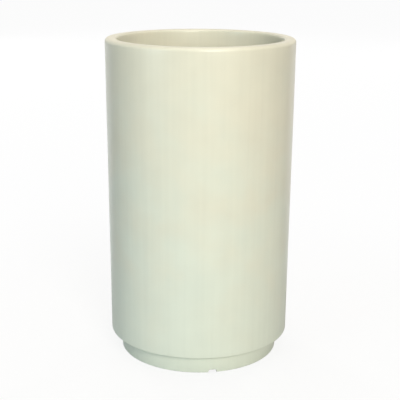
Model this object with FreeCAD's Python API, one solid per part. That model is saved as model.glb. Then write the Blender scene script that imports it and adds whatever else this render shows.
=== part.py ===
"""A tall round fibreglass planter on a recessed plinth, open at the top, with a bonded-in floor and a drain.

Lengths are in millimetres and angles in degrees. +Z is up. The origin is on the ground, in the middle of
the plinth, and -Y points at the front weep notch. Every turned piece is an outline of (radius, height,
corner radius) points, swept once round +Z.
"""
import FreeCAD, Part
import math
import os

PARTS_FOLDER = "parts"
FULL_TURN = 360.0
UP = FreeCAD.Vector(0, 0, 1)
CUT_MARGIN = 8.0

# Shell: one gel-coated moulding, from the rolled rim down to the skirt that it stands on.
HEIGHT = 608.0
RIM_DIAMETER = 356.0
BARREL_END_DIAMETER = 347.5
LAMINATE = 5.0
RIM_WIDTH = 21.5
RIM_OUTER_ROUND = 6.5
RIM_INNER_ROUND = 4.5
LIP_DEPTH = 38.0
INSIDE_ROUND = 3.0
TRIMMED_EDGE_ROUND = 1.2
BARREL_END_ROUND = 2.0

# Plinth: the recessed skirt under the barrel, and the ledge that carries the floor.
PLINTH_HEIGHT = 37.5
PLINTH_RECESS = 18.75
PLINTH_DRAFT = 1.9
STEP_ROUND = 2.5
LEDGE_EDGE_ROUND = 4.0
LEDGE_COVE = 4.0

# Weep notches: where drained water leaves the space under the floor.
NOTCH_COUNT = 3
NOTCH_WIDTH = 16.0
NOTCH_HEIGHT = 5.0
NOTCH_ROUND = 3.5
FRONT_NOTCH_ANGLE = -90.0

# Floor: a plywood core between two glass skins, bedded on the ledge, with putty and a glass tab round it.
BEDDING = 2.0
BEDDING_MARGIN = 0.5
FLOOR_SKIN = 2.0
CORE = 12.0
FLOOR_EDGE_GAP = 3.0
COVE_ROUND = 15.0
TAB = 2.5
TAB_ON_FLOOR = 20.0
TAB_ON_WALL = 25.0

# Drain: a one-inch bulkhead fitting through the floor, closed by a tapered bung.
DRAIN_TUBE_DIAMETER = 33.0
DRAIN_BORE_DIAMETER = 25.0
DRAIN_FLANGE_DIAMETER = 54.0
DRAIN_FLANGE = 4.0
DRAIN_FLANGE_ROUND = 1.5
DRAIN_TAIL = 10.0
DRAIN_TAIL_ROUND = 0.5
DRAIN_CLEARANCE = 0.5
GASKET = 2.0
GASKET_DIAMETER = 50.0
WASHER = 2.0
WASHER_DIAMETER = 52.0
NUT = 9.0
NUT_SIDES = 6
NUT_ACROSS_FLATS = 46.0
NUT_CHAMFER = 1.5
NUT_CLEARANCE = 0.1

# Bung: rubber, tapered to wedge in the drain's mouth, with a grip to pull it by.
SEAT_DIAMETER = 29.0
SEAT_DEPTH = 14.0
BUNG_DEPTH = 12.0
BUNG_CLEARANCE = 0.2
BUNG_END_ROUND = 1.0
BUNG_HEAD_DIAMETER = 38.0
BUNG_HEAD = 3.5
BUNG_HEAD_ROUND = 1.2
GRIP_NECK_DIAMETER = 12.0
GRIP_NECK = 5.0
GRIP_NECK_ROUND = 1.5
GRIP_DIAMETER = 20.0
GRIP = 7.0
GRIP_ROUND = 2.8

# Radii and levels that follow from the sizes above.
RIM_RADIUS = RIM_DIAMETER / 2
BARREL_END_RADIUS = BARREL_END_DIAMETER / 2
PLINTH_TOP_RADIUS = BARREL_END_RADIUS - PLINTH_RECESS
PLINTH_FOOT_RADIUS = PLINTH_TOP_RADIUS - PLINTH_DRAFT
MOUTH_RADIUS = RIM_RADIUS - RIM_WIDTH
LIP_END = HEIGHT - LIP_DEPTH
LEDGE_TOP = PLINTH_HEIGHT + LAMINATE
FLOOR_UNDERSIDE = LEDGE_TOP + BEDDING
CORE_UNDERSIDE = FLOOR_UNDERSIDE + FLOOR_SKIN
CORE_TOP = CORE_UNDERSIDE + CORE
FLOOR_TOP = CORE_TOP + FLOOR_SKIN
TAB_TOP = FLOOR_TOP + COVE_ROUND + TAB_ON_WALL
FLANGE_UNDERSIDE = FLOOR_TOP + GASKET
FLANGE_TOP = FLANGE_UNDERSIDE + DRAIN_FLANGE
NUT_TOP = FLOOR_UNDERSIDE - WASHER
NUT_UNDERSIDE = NUT_TOP - NUT
TAIL_END = NUT_UNDERSIDE - DRAIN_TAIL
TUBE_RADIUS = DRAIN_TUBE_DIAMETER / 2
FLOOR_HOLE_RADIUS = TUBE_RADIUS + DRAIN_CLEARANCE
BORE_RADIUS = DRAIN_BORE_DIAMETER / 2
SEAT_RADIUS = SEAT_DIAMETER / 2


def barrel_outside(z):
    """The barrel's outside radius at a height, on its straight draft."""
    share = (z - PLINTH_HEIGHT) / (HEIGHT - PLINTH_HEIGHT)
    return BARREL_END_RADIUS + (RIM_RADIUS - BARREL_END_RADIUS) * share


def barrel_inside(z):
    """The barrel's inside radius at a height."""
    return barrel_outside(z) - LAMINATE


def skirt_outside(z):
    """The plinth skirt's outside radius at a height, on its own draft."""
    return PLINTH_FOOT_RADIUS + (PLINTH_TOP_RADIUS - PLINTH_FOOT_RADIUS) * z / PLINTH_HEIGHT


def skirt_inside(z):
    """The plinth skirt's inside radius at a height."""
    return skirt_outside(z) - LAMINATE


def point(x, z):
    """A point of an outline, in the XZ plane."""
    return FreeCAD.Vector(x, 0, z)


def corner_arc(before, at, after, radius):
    """Where the arc that rounds a corner starts, is halfway, and ends."""
    back = (before - at).normalize()
    ahead = (after - at).normalize()
    half_angle = back.getAngle(ahead) / 2
    tangent = radius / math.tan(half_angle)
    bisector = (back + ahead).normalize()
    middle = at + bisector * (radius / math.sin(half_angle) - radius)
    return at + back * tangent, middle, at + ahead * tangent


def outline(corners):
    """A closed face through (x, z, corner radius) points, with an arc in each corner that has a radius."""
    places = [point(x, z) for x, z, _ in corners]
    stops = []
    for i, (_, _, radius) in enumerate(corners):
        if radius:
            following = places[(i + 1) % len(places)]
            stops.append(corner_arc(places[i - 1], places[i], following, radius))
        else:
            stops.append((places[i],))
    edges = []
    for here, following in zip(stops, stops[1:] + stops[:1]):
        if len(here) == 3:
            edges.append(Part.Arc(*here).toShape())
        edges.append(Part.LineSegment(here[-1], following[0]).toShape())
    return Part.Face(Part.Wire(edges))


def turned(corners):
    """The solid that an outline sweeps in one turn round +Z."""
    return outline(corners).revolve(point(0, 0), UP, FULL_TURN)


def ring(inner, outer, bottom, top):
    """A flat ring of rectangular section."""
    return turned([(inner, bottom, 0), (outer, bottom, 0), (outer, top, 0), (inner, top, 0)])


def weep_notch(angle):
    """The cutter of one weep notch, across the skirt's lower edge in the direction of an angle."""
    half = NOTCH_WIDTH / 2
    section = outline([(-half, -CUT_MARGIN, 0), (half, -CUT_MARGIN, 0),
                       (half, NOTCH_HEIGHT, NOTCH_ROUND), (-half, NOTCH_HEIGHT, NOTCH_ROUND)])
    across = LAMINATE + 2 * CUT_MARGIN
    cutter = section.extrude(FreeCAD.Vector(0, -across, 0))
    cutter.translate(FreeCAD.Vector(0, CUT_MARGIN - skirt_inside(0), 0))
    cutter.rotate(point(0, 0), UP, angle - FRONT_NOTCH_ANGLE)
    return cutter


def shell():
    """Rolled rim, return lip, drafted barrel, step, ledge and skirt: one laminate."""
    under_rim = HEIGHT - LAMINATE
    behind_lip = MOUTH_RADIUS + LAMINATE
    body = turned([
        (skirt_outside(0), 0, TRIMMED_EDGE_ROUND),
        (PLINTH_TOP_RADIUS, PLINTH_HEIGHT, STEP_ROUND),
        (BARREL_END_RADIUS, PLINTH_HEIGHT, BARREL_END_ROUND),
        (RIM_RADIUS, HEIGHT, RIM_OUTER_ROUND),
        (MOUTH_RADIUS, HEIGHT, RIM_INNER_ROUND),
        (MOUTH_RADIUS, LIP_END, TRIMMED_EDGE_ROUND),
        (behind_lip, LIP_END, TRIMMED_EDGE_ROUND),
        (behind_lip, under_rim, INSIDE_ROUND),
        (barrel_inside(under_rim), under_rim, INSIDE_ROUND),
        (barrel_inside(LEDGE_TOP), LEDGE_TOP, LEDGE_COVE),
        (skirt_inside(LEDGE_TOP), LEDGE_TOP, LEDGE_EDGE_ROUND),
        (skirt_inside(0), 0, TRIMMED_EDGE_ROUND),
    ])
    for i in range(NOTCH_COUNT):
        body = body.cut(weep_notch(FRONT_NOTCH_ANGLE + i * FULL_TURN / NOTCH_COUNT))
    return body


def floor_radius():
    """The radius of the floor panel, which leaves an even gap inside the barrel."""
    return barrel_inside(LEDGE_TOP) - FLOOR_EDGE_GAP


def floor_disc(bottom, top):
    """One layer of the floor panel, with the hole for the drain."""
    return ring(FLOOR_HOLE_RADIUS, floor_radius(), bottom, top)


def floor_bedding():
    """The ring of bonding paste between the ledge's flat and the floor panel."""
    inner = skirt_inside(LEDGE_TOP) + LEDGE_EDGE_ROUND + BEDDING_MARGIN
    outer = barrel_inside(LEDGE_TOP) - LEDGE_COVE - BEDDING_MARGIN
    return ring(inner, outer, LEDGE_TOP, FLOOR_UNDERSIDE)


def floor_underskin():
    """The glass skin on the core's underside."""
    return floor_disc(FLOOR_UNDERSIDE, CORE_UNDERSIDE)


def floor_core():
    """The plywood disc that stiffens the floor."""
    return floor_disc(CORE_UNDERSIDE, CORE_TOP)


def floor_topskin():
    """The glass skin on the core's top."""
    return floor_disc(CORE_TOP, FLOOR_TOP)


def floor_corner():
    """The arc of the cove, from the floor's top to the barrel's wall."""
    top = FLOOR_TOP + COVE_ROUND
    corner = point(barrel_inside(FLOOR_TOP), FLOOR_TOP)
    return corner_arc(point(0, FLOOR_TOP), corner, point(barrel_inside(top), top), COVE_ROUND)


def floor_cove():
    """The putty that fills the gap round the floor panel and turns the corner up the barrel's wall."""
    on_floor, middle, on_wall = floor_corner()
    bottom = LEDGE_TOP + LEDGE_COVE
    panel_foot = point(floor_radius(), bottom)
    panel_edge = point(floor_radius(), FLOOR_TOP)
    wall_foot = point(barrel_inside(bottom), bottom)
    edges = [
        Part.LineSegment(panel_foot, wall_foot).toShape(),
        Part.LineSegment(wall_foot, on_wall).toShape(),
        Part.Arc(on_wall, middle, on_floor).toShape(),
        Part.LineSegment(on_floor, panel_edge).toShape(),
        Part.LineSegment(panel_edge, panel_foot).toShape(),
    ]
    return Part.Face(Part.Wire(edges)).revolve(point(0, 0), UP, FULL_TURN)


def floor_tab():
    """The glass tape that ties the floor's top skin to the barrel's wall, over the cove."""
    inner = barrel_inside(FLOOR_TOP) - COVE_ROUND - TAB_ON_FLOOR
    tape_top = FLOOR_TOP + TAB
    return turned([
        (inner, FLOOR_TOP, 0),
        (barrel_inside(FLOOR_TOP), FLOOR_TOP, COVE_ROUND),
        (barrel_inside(TAB_TOP), TAB_TOP, 0),
        (barrel_inside(TAB_TOP) - TAB, TAB_TOP, TAB / 2),
        (barrel_inside(tape_top) - TAB, tape_top, COVE_ROUND - TAB),
        (inner, tape_top, TAB / 2),
    ])


def drain_body():
    """The flanged drain tube, with a tapered seat in its mouth and a tail below the nut."""
    flange_radius = DRAIN_FLANGE_DIAMETER / 2
    return turned([
        (BORE_RADIUS, TAIL_END, 0),
        (TUBE_RADIUS, TAIL_END, DRAIN_TAIL_ROUND),
        (TUBE_RADIUS, FLANGE_UNDERSIDE, 0),
        (flange_radius, FLANGE_UNDERSIDE, 0),
        (flange_radius, FLANGE_TOP, DRAIN_FLANGE_ROUND),
        (SEAT_RADIUS, FLANGE_TOP, 0),
        (BORE_RADIUS, FLANGE_TOP - SEAT_DEPTH, 0),
    ])


def drain_gasket():
    """The rubber ring between the drain's flange and the floor."""
    return ring(FLOOR_HOLE_RADIUS, GASKET_DIAMETER / 2, FLOOR_TOP, FLANGE_UNDERSIDE)


def drain_washer():
    """The slip washer between the floor's underside and the nut."""
    return ring(FLOOR_HOLE_RADIUS, WASHER_DIAMETER / 2, NUT_TOP, FLOOR_UNDERSIDE)


def drain_locknut():
    """The nut that clamps the drain to the floor, with its lower corners chamfered."""
    bore = TUBE_RADIUS + NUT_CLEARANCE
    side_angle = 2 * math.pi / NUT_SIDES
    corner_radius = NUT_ACROSS_FLATS / 2 / math.cos(side_angle / 2)
    corners = []
    for i in range(NUT_SIDES + 1):
        x = corner_radius * math.cos(i * side_angle)
        y = corner_radius * math.sin(i * side_angle)
        corners.append(FreeCAD.Vector(x, y, NUT_UNDERSIDE))
    prism = Part.Face(Part.makePolygon(corners)).extrude(UP * NUT)
    envelope = turned([
        (bore, NUT_UNDERSIDE, 0),
        (corner_radius - NUT_CHAMFER, NUT_UNDERSIDE, 0),
        (corner_radius, NUT_UNDERSIDE + NUT_CHAMFER, 0),
        (corner_radius, NUT_TOP, 0),
        (bore, NUT_TOP, 0),
    ])
    return prism.common(envelope)


def drain_plug():
    """The rubber bung: a tapered body in the drain's seat, a head that rests on the flange, and a grip."""
    narrowing = (SEAT_RADIUS - BORE_RADIUS) * BUNG_DEPTH / SEAT_DEPTH
    body_top = SEAT_RADIUS - BUNG_CLEARANCE
    head_radius = BUNG_HEAD_DIAMETER / 2
    head_top = FLANGE_TOP + BUNG_HEAD
    neck_radius = GRIP_NECK_DIAMETER / 2
    grip_radius = GRIP_DIAMETER / 2
    grip_underside = head_top + GRIP_NECK
    grip_top = grip_underside + GRIP
    return turned([
        (0, FLANGE_TOP - BUNG_DEPTH, 0),
        (body_top - narrowing, FLANGE_TOP - BUNG_DEPTH, BUNG_END_ROUND),
        (body_top, FLANGE_TOP, 0),
        (head_radius, FLANGE_TOP, 0),
        (head_radius, head_top, BUNG_HEAD_ROUND),
        (neck_radius, head_top, GRIP_NECK_ROUND),
        (neck_radius, grip_underside, GRIP_NECK_ROUND),
        (grip_radius, grip_underside, GRIP_ROUND),
        (grip_radius, grip_top, GRIP_ROUND),
        (0, grip_top, 0),
    ])


def main():
    """Builds every piece and writes each to a file of its own name."""
    os.makedirs(PARTS_FOLDER, exist_ok=True)
    pieces = [shell, floor_bedding, floor_underskin, floor_core, floor_topskin, floor_cove, floor_tab,
              drain_body, drain_gasket, drain_washer, drain_locknut, drain_plug]
    for piece in pieces:
        name = piece.__name__
        solid = piece()
        print(f"{name}: valid {solid.isValid()}, {len(solid.Solids)} solid, {solid.Volume:.0f} mm3")
        solid.exportStep(os.path.join(PARTS_FOLDER, name + ".step"))


main()
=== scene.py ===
"""The looks of a tall round fibreglass planter: gel coat outside, raw laminate inside, in a pale studio.

Lengths are in metres and +Z is up. The origin is on the ground, in the middle of the plinth, and -Y points
at the front weep notch. Every turned piece is a ring of cross sections round +Z. The glass, the paste and
the tape have the unevenness of hand work in their surface. Noise is in waves per metre, and bumps in metres.
"""
import math
import bpy
from mathutils import Euler, Matrix, Vector, noise


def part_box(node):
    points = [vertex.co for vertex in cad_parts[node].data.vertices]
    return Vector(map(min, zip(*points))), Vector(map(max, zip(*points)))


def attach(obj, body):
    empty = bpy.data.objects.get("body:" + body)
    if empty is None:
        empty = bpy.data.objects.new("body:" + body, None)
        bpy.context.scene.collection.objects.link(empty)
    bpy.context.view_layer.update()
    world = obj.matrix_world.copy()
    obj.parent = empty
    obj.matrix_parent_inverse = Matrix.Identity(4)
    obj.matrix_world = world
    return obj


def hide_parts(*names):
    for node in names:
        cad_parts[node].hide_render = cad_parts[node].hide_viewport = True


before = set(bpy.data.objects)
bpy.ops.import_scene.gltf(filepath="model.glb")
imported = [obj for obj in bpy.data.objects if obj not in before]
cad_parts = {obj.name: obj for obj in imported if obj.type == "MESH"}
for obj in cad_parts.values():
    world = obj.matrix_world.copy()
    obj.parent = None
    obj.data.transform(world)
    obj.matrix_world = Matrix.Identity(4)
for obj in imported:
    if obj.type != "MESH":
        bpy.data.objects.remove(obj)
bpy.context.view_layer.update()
FULL_TURN = 2 * math.pi

# Levels and radii that the solids give.
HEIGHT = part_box("shell")[1].z
LEDGE_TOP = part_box("floor_bedding")[0].z
BEDDING_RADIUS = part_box("floor_bedding")[1].x
FLOOR_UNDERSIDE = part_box("floor_underskin")[0].z
CORE_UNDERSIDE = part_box("floor_core")[0].z
CORE_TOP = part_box("floor_core")[1].z
FLOOR_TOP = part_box("floor_topskin")[1].z
PANEL_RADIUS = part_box("floor_topskin")[1].x
TAB_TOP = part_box("floor_tab")[1].z
TAIL_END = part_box("drain_body")[0].z
FLANGE_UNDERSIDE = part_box("drain_gasket")[1].z
FLANGE_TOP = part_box("drain_body")[1].z

# The moulding.
RIM_RADIUS = 0.178
BARREL_END_RADIUS = 0.17375
PLINTH_TOP_RADIUS = 0.155
PLINTH_FOOT_RADIUS = 0.1531
PLINTH_HEIGHT = 0.0375
LAMINATE = 0.005
RIM_WIDTH = 0.0215
LIP_DEPTH = 0.038
MOUTH_RADIUS = RIM_RADIUS - RIM_WIDTH
RIM_OUTER_ROUND = 0.0065
RIM_INNER_ROUND = 0.0045
INSIDE_ROUND = 0.003
TRIMMED_EDGE_ROUND = 0.0012
BARREL_END_ROUND = 0.002
STEP_ROUND = 0.0025
LEDGE_ROUND = 0.004

# The weep notches, which lift the skirt's points up to a reach above the ground. Close cross sections cut
# each one at shares of its half width, and the even ones stay past the last share by a factor.
NOTCH_ANGLES = [math.radians(a) for a in (-90, 30, 150)]
NOTCH_HALF_WIDTH = 0.008
NOTCH_HEIGHT = 0.005
NOTCH_ROUND = 0.0035
NOTCH_REACH = 0.015
NOTCH_SECTIONS = (0, 0.2, 0.4, 0.56, 0.7, 0.81, 0.9, 0.96, 0.994, 1.006, 1.05, 1.15, 1.375)
NOTCH_CLEAR = 1.4

# The floor: how far its tape and the bead of its bedding reach.
COVE_ROUND = 0.015
TAB = 0.0025
TAB_ON_FLOOR = 0.020
TAB_SUNK = 0.0003
BEAD_REACH = 0.0035
BEAD_DEPTH = 0.0022
BEAD_ROUND = 0.0009

# The drain. From crest to root, the share of the thread's depth that is cut starts below 0 and rises past 1.
# It is held between them, so that crest and root are flat.
FLOOR_HOLE_RADIUS = 0.017
TUBE_RADIUS = 0.0165
BORE_RADIUS = 0.0125
SEAT_RADIUS = 0.0145
SEAT_DEPTH = 0.014
FLANGE_RADIUS = 0.027
FLANGE_ROUND = 0.0015
THREAD_PITCH = 0.0023
THREAD_DEPTH = 0.0009
THREAD_RUN_OUT = 0.0015
THREAD_START = -0.25
THREAD_RISE = 1.5

# The unevenness of each surface, as (wavelength, height) pairs. The inset keeps the gel coat in the solid.
GEL_WAVES = ((0.110, 0.00012), (0.045, 0.00004))
GEL_INSET = 0.00013
RAW_WAVES = ((0.060, 0.0005), (0.017, 0.00035), (0.008, 0.00015))
TRIM_WAVES = ((0.006, 0.00012),)
SKIN_WAVES = ((0.035, 0.0004), (0.012, 0.00025))
TAPE_WAVES = ((0.030, 0.0003), (0.010, 0.00025))
TAPE_RAGS = ((0.011, 0.0022), (0.004, 0.0012))
BEAD_LUMPS = ((0.030, 0.0012), (0.009, 0.0007))

# How finely the surfaces are cut.
SECTIONS = 300
DRAIN_SECTIONS = 150
ROW = 0.005
GEL_ROW = 0.010
TAPE_ROW = 0.003
THREAD_ROW = THREAD_PITCH / 14
ARC_STEPS = 6
SHARP_ANGLE = math.radians(50)


# ---------------------------------------------------------------- turned meshes

def polar(r, a, z):
    """A point at a radius, an angle and a height."""
    return Vector((r * math.cos(a), r * math.sin(a), z))


def uneven(p, waves):
    """The sum at a point of smooth unevenness of several wavelengths and heights."""
    return sum(height * noise.noise(p / wavelength) for wavelength, height in waves)


def corner_arc(before, at, after, radius):
    """The points of a round corner in an outline."""
    if not radius:
        return [at]
    back = (before - at).normalized()
    ahead = (after - at).normalized()
    half = back.angle(ahead) / 2
    centre = at + (back + ahead).normalized() * radius / math.sin(half)
    start = at + back * radius / math.tan(half) - centre
    turn = math.pi - 2 * half
    if back.cross(ahead) > 0:
        turn = -turn
    arc = []
    for step in range(ARC_STEPS + 1):
        a = turn * step / ARC_STEPS
        arc.append(centre + Vector((start.x * math.cos(a) - start.y * math.sin(a),
                                    start.x * math.sin(a) + start.y * math.cos(a))))
    return arc


def rounded(corners, rows):
    """A closed outline of (radius, height, corner radius, zone) as close points of (radius, height, zone)."""
    count = len(corners)
    places = [Vector(c[:2]) for c in corners]
    arcs = []
    for i in range(count):
        arcs.append(corner_arc(places[i - 1], places[i], places[(i + 1) % count], corners[i][2]))
    samples = []
    for i, arc in enumerate(arcs):
        zone = corners[i][3]
        samples += [(p.x, p.y, zone) for p in arc]
        run = arcs[(i + 1) % count][0] - arc[-1]
        pieces = max(1, math.ceil(run.length / rows.get(zone, ROW)))
        for step in range(1, pieces):
            p = arc[-1] + run * step / pieces
            samples.append((p.x, p.y, zone))
    return samples


def turned(name, corners, place, materials, rows=None, angles=None):
    """A closed mesh that carries an outline round +Z, with each point put where place() says.

    materials gives each zone its material, and rows the spacing of its points where that isn't ROW.
    """
    samples = rounded(corners, rows or {})
    angles = angles or even_angles(SECTIONS)
    count = len(samples)
    zones = list(materials)
    vertices = [place(r, z, a, zone) for a in angles for r, z, zone in samples]
    faces = []
    slots = []
    for i in range(len(angles)):
        here = i * count
        there = (i + 1) % len(angles) * count
        for j in range(count):
            up = (j + 1) % count
            faces.append((here + j, there + j, there + up, here + up))
            slots.append(zones.index(samples[j][2]))
    mesh = bpy.data.meshes.new(name)
    mesh.from_pydata(vertices, [], faces)
    mesh.polygons.foreach_set("material_index", slots)
    mesh.polygons.foreach_set("use_smooth", [True] * len(faces))
    for material in materials.values():
        mesh.materials.append(material)
    mesh.set_sharp_from_angle(angle=SHARP_ANGLE)
    mesh.update()
    piece = bpy.data.objects.new(name, mesh)
    bpy.context.scene.collection.objects.link(piece)
    return piece


def even_angles(count):
    """The angles of evenly spaced cross sections."""
    return [FULL_TURN * i / count for i in range(count)]


def angles_with_notches():
    """Even angles, but for the closer ones that cut each weep notch."""
    offsets = [share * NOTCH_HALF_WIDTH / PLINTH_FOOT_RADIUS for share in NOTCH_SECTIONS]
    angles = []
    for a in even_angles(SECTIONS):
        nearest = min(abs(math.remainder(a - middle, FULL_TURN)) for middle in NOTCH_ANGLES)
        if nearest > NOTCH_CLEAR * offsets[-1]:
            angles.append(a)
    for middle in NOTCH_ANGLES:
        angles.append(middle % FULL_TURN)
        for offset in offsets[1:]:
            angles += [(middle + offset) % FULL_TURN, (middle - offset) % FULL_TURN]
    return sorted(angles)


# ---------------------------------------------------------------- shader nodes

class Nodes:
    """A node tree, with helpers that return sockets. Values are sockets or plain numbers and colours."""

    def __init__(self, tree):
        self.tree = tree

    def node(self, kind, **settings):
        made = self.tree.nodes.new(kind)
        for key, value in settings.items():
            setattr(made, key, value)
        return made

    def feed(self, socket, value):
        """Links a socket to another one, or sets it to a plain value."""
        if isinstance(value, bpy.types.NodeSocket):
            self.tree.links.new(value, socket)
        else:
            socket.default_value = value

    def maths(self, operation, *values):
        made = self.node("ShaderNodeMath", operation=operation)
        for socket, value in zip(made.inputs, values):
            self.feed(socket, value)
        return made.outputs[0]

    def span(self, value, source, target=(0.0, 1.0), smooth=False):
        """A value carried from a source range to a target range, and held at the target's ends outside it."""
        made = self.node("ShaderNodeMapRange")
        made.interpolation_type = "SMOOTHSTEP" if smooth else "LINEAR"
        for socket, number in zip(list(made.inputs)[:5], (value, *source, *target)):
            self.feed(socket, number)
        return made.outputs["Result"]

    def blend(self, share, first, second, mode="MIX"):
        """Two colours mixed by a share from 0 to 1. The node's inputs 6 and 7 are the colours."""
        made = self.node("ShaderNodeMix", data_type="RGBA", blend_type=mode)
        self.feed(made.inputs["Factor"], share)
        self.feed(made.inputs[6], first)
        self.feed(made.inputs[7], second)
        return made.outputs[2]


class Material(Nodes):
    """A node material on one shader."""

    def __init__(self, name, ior):
        self.material = bpy.data.materials.new(name)
        self.material.use_nodes = True
        super().__init__(self.material.node_tree)
        self.shader = self.tree.nodes["Principled BSDF"]
        self.set("IOR", ior)
        self.position = self.node("ShaderNodeTexCoord").outputs["Object"]

    def set(self, socket, value):
        """Feeds one of the shader's own sockets."""
        self.feed(self.shader.inputs[socket], value)

    def height(self):
        """The height above the ground."""
        made = self.node("ShaderNodeSeparateXYZ")
        self.feed(made.inputs[0], self.position)
        return made.outputs["Z"]

    def stretched(self, x, y, z, vector=None):
        """The position, or another vector, multiplied along each axis."""
        made = self.node("ShaderNodeVectorMath", operation="MULTIPLY")
        self.feed(made.inputs[0], vector or self.position)
        made.inputs[1].default_value = (x, y, z)
        return made.outputs[0]

    def noise(self, vector, scale=1.0, detail=3.0, distortion=0.0):
        made = self.node("ShaderNodeTexNoise")
        self.feed(made.inputs["Vector"], vector)
        made.inputs["Scale"].default_value = scale
        made.inputs["Detail"].default_value = detail
        made.inputs["Distortion"].default_value = distortion
        return made.outputs["Fac"]

    def bump(self, height, depth, normal=None):
        made = self.node("ShaderNodeBump")
        made.inputs["Distance"].default_value = depth
        self.feed(made.inputs["Height"], height)
        if normal is not None:
            self.feed(made.inputs["Normal"], normal)
        return made.outputs["Normal"]


def grey(value):
    """A neutral linear colour."""
    return (value, value, value, 1.0)


# ---------------------------------------------------------------- materials

RESIN_IOR = 1.5
WOOD_IOR = 1.45

# Ranges of noise that colours and roughness follow. Noise seldom leaves the wide one.
WIDE = (0.2, 0.8)
MIDDLE = (0.3, 0.7)
PATCHES = (0.35, 0.68)
CRESTS = (0.45, 0.72)
DUST = (0.4, 0.75)

# The gel coat drifts from cool to warm between these heights, and clouds move the drift up and down.
GEL_DRIFT = (0.03, 0.60)
GEL_CLOUDS = (-0.16, 0.16)

# The gel coat stays rougher than 0.274, where Cycles' denoiser starts to treat gloss as a mirror's.
GEL_ROUGHNESS = (0.28, 0.34)

# How the leaning strands of the raw laminate turn round the wall, in radians per metre of height.
STRAND_TWISTS = (9.0, -7.0)


def gel_coat():
    """Satin ivory gel coat: warmer towards the rim and cooler towards the plinth, with faint streaks."""
    m = Material("gel_coat", RESIN_IOR)
    warm = (0.842, 0.806, 0.660, 1)
    cool = (0.800, 0.840, 0.728, 1)
    clouds = m.span(m.noise(m.position, scale=13.0, detail=2.0), WIDE, GEL_CLOUDS)
    base = m.blend(m.span(m.maths("ADD", m.height(), clouds), GEL_DRIFT, smooth=True), cool, warm)
    mottle = m.span(m.noise(m.position, scale=17.0, detail=2.0), WIDE, (0.95, 1.0))
    streaks = m.span(m.noise(m.stretched(115, 115, 2.2), detail=2.0), WIDE, (0.96, 1.0))
    m.set("Base Color", m.blend(1.0, base, m.maths("MULTIPLY", mottle, streaks), mode="MULTIPLY"))
    m.set("Roughness", m.span(m.noise(m.position, scale=34.0), MIDDLE, GEL_ROUGHNESS))
    strands = m.bump(m.noise(m.position, scale=60.0, detail=1.0), depth=0.00006)
    fine = m.noise(m.position, scale=420.0, detail=1.0)
    m.set("Normal", m.bump(fine, depth=0.000008, normal=strands))
    return m.material


def strand_relief(m):
    """The relief of chopped glass strands: round the wall, in short curls, and leaning both ways."""
    relief = m.noise(m.stretched(38, 38, 640), detail=1.0)
    relief = m.maths("MAXIMUM", relief, m.noise(m.stretched(300, 320, 120), detail=2.0))
    for twist in STRAND_TWISTS:
        leaning = m.node("ShaderNodeVectorRotate", rotation_type="Z_AXIS")
        m.feed(leaning.inputs["Vector"], m.position)
        m.feed(leaning.inputs["Angle"], m.maths("MULTIPLY", m.height(), twist))
        way = m.noise(m.stretched(620, 620, 28, leaning.outputs[0]), detail=1.0)
        relief = m.maths("MAXIMUM", relief, way)
    return relief


def raw_laminate():
    """The rough side of the glass: strands under a brushed coat of resin and pigment."""
    m = Material("raw_laminate", RESIN_IOR)
    pale = (0.78, 0.76, 0.65, 1)
    wet = (0.63, 0.60, 0.47, 1)
    strands = strand_relief(m)
    thick = m.noise(m.position, scale=18.0, detail=4.0)
    base = m.blend(m.span(thick, PATCHES), pale, wet)
    m.set("Base Color", m.blend(1.0, base, m.span(strands, CRESTS, (0.86, 1.0)), mode="MULTIPLY"))
    m.set("Roughness", m.span(thick, MIDDLE, (0.34, 0.58)))
    lumps = m.bump(m.noise(m.position, scale=140.0, detail=4.0), depth=0.0006)
    m.set("Normal", m.bump(strands, depth=0.0005, normal=lumps))
    return m.material


def grained(name, waves, detail, distortion, dark, light, roughness, depth, ior=RESIN_IOR):
    """A rough material whose colour, roughness and bump follow one noise."""
    m = Material(name, ior)
    grain = m.noise(m.stretched(*waves), detail=detail, distortion=distortion)
    m.set("Base Color", m.blend(m.span(grain, MIDDLE), dark, light))
    m.set("Roughness", m.span(grain, MIDDLE, roughness))
    m.set("Normal", m.bump(grain, depth))
    return m.material


def trimmed_edge():
    """Laminate cut through: layers of glass seen end on in resin."""
    return grained("trimmed_edge", waves=(900, 900, 900), detail=2.0, distortion=0.0,
                   dark=(0.34, 0.33, 0.22, 1), light=(0.56, 0.54, 0.42, 1),
                   roughness=(0.50, 0.75), depth=0.0003)


def putty():
    """Trowelled bonding putty, with drag marks and pits."""
    return grained("putty", waves=(160, 160, 60), detail=5.0, distortion=0.6,
                   dark=(0.44, 0.41, 0.33, 1), light=(0.60, 0.57, 0.47, 1),
                   roughness=(0.55, 0.80), depth=0.0006)


def plywood():
    """Bare plywood: long grain across the panel, in plies at its edge."""
    return grained("plywood", waves=(9, 150, 700), detail=4.0, distortion=1.2,
                   dark=(0.36, 0.24, 0.13, 1), light=(0.60, 0.45, 0.28, 1),
                   roughness=(0.60, 0.80), depth=0.0004, ior=WOOD_IOR)


def moulded(name, dark, light, roughness, grain, depth):
    """A moulded black plastic or rubber, slightly dusty and finely textured."""
    m = Material(name, RESIN_IOR)
    dust = m.noise(m.position, scale=130.0, detail=4.0)
    m.set("Base Color", m.blend(m.span(dust, DUST), grey(dark), grey(light)))
    m.set("Roughness", m.span(dust, MIDDLE, roughness))
    m.set("Normal", m.bump(m.noise(m.position, scale=grain, detail=2.0), depth))
    return m.material


def black_nylon():
    """The drain's nylon: a soft sheen over a fine spark-eroded grain."""
    return moulded("black_nylon", dark=0.018, light=0.035, roughness=(0.38, 0.50),
                   grain=900.0, depth=0.00004)


def black_rubber():
    """The bung's and the gasket's rubber: duller and dustier than the nylon."""
    return moulded("black_rubber", dark=0.020, light=0.050, roughness=(0.60, 0.80),
                   grain=1400.0, depth=0.00006)


# ---------------------------------------------------------------- the shell

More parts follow.
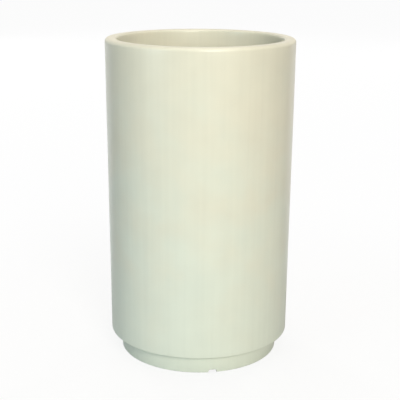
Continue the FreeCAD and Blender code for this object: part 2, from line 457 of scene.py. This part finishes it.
def stand_in(piece, node):
    """Hides a CAD node that a piece stands in for, and has the piece ride on the planter's body."""
    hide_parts(node)
    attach(piece, "planter")


def notch_lift(a):
    """How far the skirt's lower edge rises at an angle."""
    for middle in NOTCH_ANGLES:
        across = abs(math.remainder(a - middle, FULL_TURN)) * PLINTH_FOOT_RADIUS
        if across < NOTCH_HALF_WIDTH:
            past = max(0.0, across - (NOTCH_HALF_WIDTH - NOTCH_ROUND))
            return NOTCH_HEIGHT - NOTCH_ROUND + math.sqrt(NOTCH_ROUND ** 2 - past ** 2)
    return 0.0


def shell_place(r, z, a, zone):
    """A point of the shell, with the slow waves of the mould, the rough inside, and the weep notches."""
    if z < NOTCH_REACH:
        held = max(0.0, z - TRIMMED_EDGE_ROUND) / (NOTCH_REACH - TRIMMED_EDGE_ROUND)
        z += notch_lift(a) * (1 - held)
    p = polar(r, a, z)
    if zone == "gel":
        out = uneven(p, GEL_WAVES) - GEL_INSET
    elif zone == "raw":
        out = uneven(p, RAW_WAVES)
    else:
        out = uneven(p, TRIM_WAVES)
    return polar(r + out, a, z)


def make_shell(gel, raw, trim):
    """The one moulding: skirt, step, barrel, rolled rim, return lip and the ledge for the floor."""
    under_rim = HEIGHT - LAMINATE
    behind_lip = MOUTH_RADIUS + LAMINATE
    lip_end = HEIGHT - LIP_DEPTH
    corners = [
        (PLINTH_FOOT_RADIUS, 0, TRIMMED_EDGE_ROUND, "gel"),
        (PLINTH_TOP_RADIUS, PLINTH_HEIGHT, STEP_ROUND, "gel"),
        (BARREL_END_RADIUS, PLINTH_HEIGHT, BARREL_END_ROUND, "gel"),
        (RIM_RADIUS, HEIGHT, RIM_OUTER_ROUND, "gel"),
        (MOUTH_RADIUS, HEIGHT, RIM_INNER_ROUND, "gel"),
        (MOUTH_RADIUS, lip_end, TRIMMED_EDGE_ROUND, "trim"),
        (behind_lip, lip_end, TRIMMED_EDGE_ROUND, "raw"),
        (behind_lip, under_rim, INSIDE_ROUND, "raw"),
        (RIM_RADIUS - LAMINATE, under_rim, INSIDE_ROUND, "raw"),
        (BARREL_END_RADIUS - LAMINATE, LEDGE_TOP, LEDGE_ROUND, "raw"),
        (PLINTH_TOP_RADIUS - LAMINATE, LEDGE_TOP, LEDGE_ROUND, "raw"),
        (PLINTH_FOOT_RADIUS - LAMINATE, 0, TRIMMED_EDGE_ROUND, "trim"),
    ]
    piece = turned("shell_moulding", corners, shell_place, {"gel": gel, "raw": raw, "trim": trim},
                   rows={"gel": GEL_ROW}, angles=angles_with_notches())
    stand_in(piece, "shell")


# ---------------------------------------------------------------- the floor

def bead_place(r, z, a, zone):
    """A point of the bedding, lumpy where it was squeezed out past the ledge."""
    if zone == "bead":
        p = polar(r, a, 0)
        return polar(r + uneven(p, BEAD_LUMPS), a, z)
    return polar(r, a, z)


def make_bedding(material):
    """The ring of paste under the floor, with the bead that the panel squeezes out over the ledge's edge."""
    ledge_flat_starts = PLINTH_TOP_RADIUS - LAMINATE + LEDGE_ROUND
    nose = ledge_flat_starts - BEAD_REACH
    corners = [
        (ledge_flat_starts, LEDGE_TOP, 0, "flat"),
        (BEDDING_RADIUS, LEDGE_TOP, 0, "flat"),
        (BEDDING_RADIUS, FLOOR_UNDERSIDE, 0, "flat"),
        (nose, FLOOR_UNDERSIDE, 0, "bead"),
        (nose, FLOOR_UNDERSIDE - BEAD_DEPTH, BEAD_ROUND, "bead"),
    ]
    piece = turned("floor_bedding_bead", corners, bead_place, {"flat": material, "bead": material})
    stand_in(piece, "floor_bedding")


def skin_place(r, z, a, zone):
    """A point of a floor skin, uneven only on its open face."""
    p = polar(r, a, z)
    if zone == "face":
        p.z += uneven(p, SKIN_WAVES)
    return p


def make_skin(name, node, bottom, top, open_above, material):
    """One glass skin of the floor panel: a thin disc with the drain's hole, rough on its open face."""
    corners = [
        (FLOOR_HOLE_RADIUS, bottom, 0, "edge" if open_above else "face"),
        (PANEL_RADIUS, bottom, 0, "edge"),
        (PANEL_RADIUS, top, 0, "face" if open_above else "edge"),
        (FLOOR_HOLE_RADIUS, top, 0, "edge"),
    ]
    piece = turned(name, corners, skin_place, {"face": material, "edge": material})
    stand_in(piece, node)


def tape_place(r, z, a, zone):
    """A point of the glass tape, rough, and ragged at both its edges."""
    ragged = uneven(polar(r, a, 0), TAPE_RAGS)
    if zone == "upper_edge":
        return polar(r, a, z + ragged)
    if zone == "lower_edge":
        return polar(r + ragged, a, z)
    rough = uneven(polar(r, a, z), TAPE_WAVES)
    return polar(r + rough, a, z + rough)


def wall_inside(z):
    """The barrel's inside radius at a height."""
    draft = (RIM_RADIUS - BARREL_END_RADIUS) / (HEIGHT - PLINTH_HEIGHT)
    return BARREL_END_RADIUS - LAMINATE + draft * (z - PLINTH_HEIGHT)


def make_tape(material):
    """The tape that ties the floor to the wall, over the putty cove."""
    inner = wall_inside(FLOOR_TOP) - COVE_ROUND - TAB_ON_FLOOR
    underside = FLOOR_TOP - TAB_SUNK
    top = FLOOR_TOP + TAB
    corners = [
        (inner, underside, 0, "tape"),
        (wall_inside(FLOOR_TOP), underside, COVE_ROUND, "tape"),
        (wall_inside(TAB_TOP), TAB_TOP, 0, "upper_edge"),
        (wall_inside(TAB_TOP) - TAB, TAB_TOP, TAB / 2, "tape"),
        (wall_inside(top) - TAB, top, COVE_ROUND - TAB, "tape"),
        (inner, top, TAB / 2, "lower_edge"),
    ]
    zones = ("tape", "upper_edge", "lower_edge")
    piece = turned("floor_glass_tape", corners, tape_place, dict.fromkeys(zones, material),
                   rows=dict.fromkeys(zones, TAPE_ROW))
    stand_in(piece, "floor_tab")


# ---------------------------------------------------------------- the drain

def thread_cut(z, a):
    """How deep the thread is cut at a height and an angle, less towards its ends."""
    turn = (z / THREAD_PITCH - a / FULL_TURN) % 1
    share = THREAD_START + THREAD_RISE * (1 - abs(2 * turn - 1))
    run_out = min(z - TAIL_END, FLANGE_UNDERSIDE - z) / THREAD_RUN_OUT
    return THREAD_DEPTH * min(1.0, max(0.0, share)) * min(1.0, max(0.0, run_out))


def drain_place(r, z, a, zone):
    """A point of the drain tube, cut back between the crests of its thread."""
    return polar(r - thread_cut(z, a) if zone == "thread" else r, a, z)


def make_drain_body(material):
    """The flanged drain tube, threaded for its nut, with the bung's tapered seat in its mouth."""
    corners = [
        (BORE_RADIUS, TAIL_END, 0, "plain"),
        (TUBE_RADIUS, TAIL_END, 0, "thread"),
        (TUBE_RADIUS, FLANGE_UNDERSIDE, 0, "plain"),
        (FLANGE_RADIUS, FLANGE_UNDERSIDE, 0, "plain"),
        (FLANGE_RADIUS, FLANGE_TOP, FLANGE_ROUND, "plain"),
        (SEAT_RADIUS, FLANGE_TOP, 0, "plain"),
        (BORE_RADIUS, FLANGE_TOP - SEAT_DEPTH, 0, "plain"),
    ]
    piece = turned("drain_threaded_body", corners, drain_place, {"plain": material, "thread": material},
                   rows={"thread": THREAD_ROW}, angles=even_angles(DRAIN_SECTIONS))
    stand_in(piece, "drain_body")


def finish_node(node, material):
    """Gives a carried-over CAD node its material."""
    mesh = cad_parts[node].data
    mesh.materials.clear()
    mesh.materials.append(material)


# ---------------------------------------------------------------- studio

# The camera, as fitted to the photograph. Its pitch, roll and yaw are in radians.
PHOTO_AZIMUTH = math.radians(-10)
CAMERA_DISTANCE = 1.7925
CAMERA_HEIGHT = 0.7884
CAMERA_PITCH = 0.2692
CAMERA_ROLL = 0.0064
CAMERA_YAW = -0.00054
FOCAL_PIXELS = 954.4
PHOTO_PIXELS = 400
SENSOR = 36.0

# How far off the lamps stand that aren't overhead, and the colour of those behind.
LAMP_DISTANCE = 6.0
WHITE = (1.0, 1.0, 1.0)

# The sheets of the floor. Each lies just over the one before, and all of them just under the planter.
FLOOR_LEVEL = -0.0004
PAPER_LEVEL = -0.0003
SHADE_LEVEL = -0.0002
FLOOR_HALF = 40.0
PAPER_SIDE = 12.0
PAPER_TURN = PHOTO_AZIMUTH + math.radians(45)
SHADE_RADIUS = 0.12
SHADE_SIDES = 48
FLOOR_GREY = 0.50
PAPER_GREY = 0.95
SHEET_ROUGHNESS = 0.9

# Shares of plain white in what the camera and mirrored light see. The camera's share rises over a span of
# distances from the planter, so that the shadow near it shows.
CAMERA_WHITE = 0.965
SHADOW_WHITE = 0.84
SHADOW_REACH = (0.17, 1.2)
FLOOR_MIRRORED = 0.10
PAPER_MIRRORED = 0.965

WORLD_FILL = 0.08
WORLD_TINT = (1.0, 0.97, 0.89, 1)
MIRRORED_TINT = (1.0, 0.965, 0.85, 1)


def make_camera():
    """The camera where the photograph was taken from: a step back, above the rim and looking down."""
    camera = bpy.data.objects.new("camera", bpy.data.cameras.new("camera"))
    bpy.context.scene.collection.objects.link(camera)
    camera.data.sensor_width = SENSOR
    camera.data.lens = FOCAL_PIXELS / PHOTO_PIXELS * SENSOR
    spot = Matrix.Rotation(PHOTO_AZIMUTH, 4, "Z") @ Vector((0, -CAMERA_DISTANCE, CAMERA_HEIGHT))
    turn = Euler((math.pi / 2 - CAMERA_PITCH, 0, PHOTO_AZIMUTH + CAMERA_YAW)).to_matrix().to_4x4()
    camera.matrix_world = Matrix.Translation(spot) @ turn @ Matrix.Rotation(CAMERA_ROLL, 4, "Z")
    bpy.context.scene.camera = camera


def make_light(name, azimuth, height, size, power, color, distance=LAMP_DISTANCE, mirrored=True):
    """A soft lamp at an azimuth in degrees from the camera's, aimed at the middle of the planter."""
    data = bpy.data.lights.new(name, "AREA")
    data.shape = "RECTANGLE"
    data.size, data.size_y = size
    data.energy = power
    data.color = color
    lamp = bpy.data.objects.new(name, data)
    lamp.visible_glossy = mirrored
    bpy.context.scene.collection.objects.link(lamp)
    spot = Matrix.Rotation(PHOTO_AZIMUTH + math.radians(azimuth), 4, "Z") @ Vector((0, -distance, height))
    aim = Vector((0, 0, HEIGHT / 2)) - spot
    lamp.matrix_world = Matrix.Translation(spot) @ aim.to_track_quat("-Z", "Y").to_matrix().to_4x4()


def make_lights():
    """A broad key lamp, a cool fill, a soft light overhead, and three from behind that mark the edges."""
    make_light("key", azimuth=15, height=2.8, size=(2.4, 2.4), power=308, color=(0.985, 0.98, 0.895))
    make_light("fill", azimuth=-52, height=1.2, size=(2.4, 2.2), power=80, color=(0.60, 0.86, 1.0))
    make_light("top", azimuth=0, height=4.5, size=(3.0, 3.0), power=66, color=(1.0, 0.93, 0.90), distance=0.3)
    make_light("back", azimuth=186, height=2.8, size=(2.4, 2.4), power=60, color=WHITE, mirrored=False)
    make_light("left_edge", azimuth=-150, height=1.2, size=(1.2, 2.2), power=160, color=WHITE, mirrored=False)
    make_light("right_edge", azimuth=150, height=1.2, size=(1.2, 2.2), power=80, color=WHITE, mirrored=False)


class StudioShader(Nodes):
    """A mix of what is lit with plain white, by shares for the camera's and for mirrored light's rays."""

    def __init__(self, tree, lit, white, output, camera_share, gloss_share):
        super().__init__(tree)
        ray = self.node("ShaderNodeLightPath").outputs
        self.seen = self.maths("MAXIMUM", ray["Is Camera Ray"], ray["Is Transmission Ray"])
        direct = self.maths("MULTIPLY", self.seen, camera_share)
        mirrored = self.maths("MULTIPLY", ray["Is Glossy Ray"], gloss_share)
        mix = self.node("ShaderNodeMixShader")
        self.feed(mix.inputs[0], self.maths("MAXIMUM", direct, mirrored))
        self.feed(mix.inputs[1], lit.outputs[0])
        self.feed(mix.inputs[2], white.outputs[0])
        self.feed(output.inputs["Surface"], mix.outputs[0])

    def colour(self, socket, for_light, for_camera):
        """Gives a colour socket one colour for light and another for the camera."""
        self.feed(socket, self.blend(self.seen, for_light, for_camera))


def white_by_distance(tree):
    """The camera's share of white on the floor: less near the planter, so that its shadow shows there."""
    nodes = Nodes(tree)
    away = nodes.node("ShaderNodeVectorMath", operation="LENGTH")
    nodes.feed(away.inputs[0], nodes.node("ShaderNodeTexCoord").outputs["Object"])
    return nodes.span(away.outputs["Value"], SHADOW_REACH, (SHADOW_WHITE, CAMERA_WHITE), smooth=True)


def make_ground(name, corners, base, gloss_share, shaded=False):
    """A flat pale sheet of the floor, which the camera sees nearly white unless it is shaded."""
    mesh = bpy.data.meshes.new(name)
    mesh.from_pydata(corners, [], [range(len(corners))])
    sheet = bpy.data.objects.new(name, mesh)
    bpy.context.scene.collection.objects.link(sheet)
    material = bpy.data.materials.new(name)
    material.use_nodes = True
    tree = material.node_tree
    lit = tree.nodes["Principled BSDF"]
    lit.inputs["Roughness"].default_value = SHEET_ROUGHNESS
    lit.inputs["Specular IOR Level"].default_value = 0.0
    white = tree.nodes.new("ShaderNodeEmission")
    camera_share = 0.0 if shaded else white_by_distance(tree)
    studio = StudioShader(tree, lit, white, tree.nodes["Material Output"], camera_share, gloss_share)
    studio.colour(lit.inputs["Base Color"], grey(base), grey(1.0))
    mesh.materials.append(material)


def square(side, turn, z):
    """The corners of a flat square with one corner on the Z axis, at a turn round it."""
    spin = Matrix.Rotation(turn, 3, "Z")
    return [spin @ Vector(c) for c in ((0, 0, z), (side, 0, z), (side, side, z), (0, side, z))]


def make_floor():
    """The floor, a sheet of white paper behind the planter, and the shaded ground under the planter."""
    to_middle = Vector((FLOOR_HALF, FLOOR_HALF, 0))
    whole = [c - to_middle for c in square(2 * FLOOR_HALF, 0, FLOOR_LEVEL)]
    paper = square(PAPER_SIDE, PAPER_TURN, PAPER_LEVEL)
    shade = [polar(SHADE_RADIUS, a, SHADE_LEVEL) for a in even_angles(SHADE_SIDES)]
    make_ground("studio_floor", whole, FLOOR_GREY, FLOOR_MIRRORED)
    make_ground("studio_paper", paper, PAPER_GREY, PAPER_MIRRORED)
    make_ground("studio_shade", shade, FLOOR_GREY, 0.0, shaded=True)


def make_world():
    """White where the camera and reflections see it, and a soft fill for everything else."""
    world = bpy.data.worlds.new("studio")
    world.use_nodes = True
    bpy.context.scene.world = world
    nodes = world.node_tree.nodes
    lit = nodes["Background"]
    lit.inputs["Color"].default_value = WORLD_TINT
    lit.inputs["Strength"].default_value = WORLD_FILL
    white = nodes.new("ShaderNodeBackground")
    studio = StudioShader(world.node_tree, lit, white, nodes["World Output"], 1.0, 1.0)
    studio.colour(white.inputs["Color"], MIRRORED_TINT, grey(1.0))


# ---------------------------------------------------------------- putting it together

make_camera()
make_floor()
make_world()
make_lights()
bpy.context.scene.view_settings.view_transform = "Standard"

laminate = raw_laminate()
paste = putty()
nylon = black_nylon()
rubber = black_rubber()
make_shell(gel_coat(), laminate, trimmed_edge())
make_bedding(paste)
make_skin("floor_under_laminate", "floor_underskin", FLOOR_UNDERSIDE, CORE_UNDERSIDE, False, laminate)
make_skin("floor_top_laminate", "floor_topskin", CORE_TOP, FLOOR_TOP, True, laminate)
make_tape(laminate)
make_drain_body(nylon)
finish_node("floor_core", plywood())
finish_node("floor_cove", paste)
finish_node("drain_gasket", rubber)
finish_node("drain_washer", nylon)
finish_node("drain_locknut", nylon)
finish_node("drain_plug", rubber)
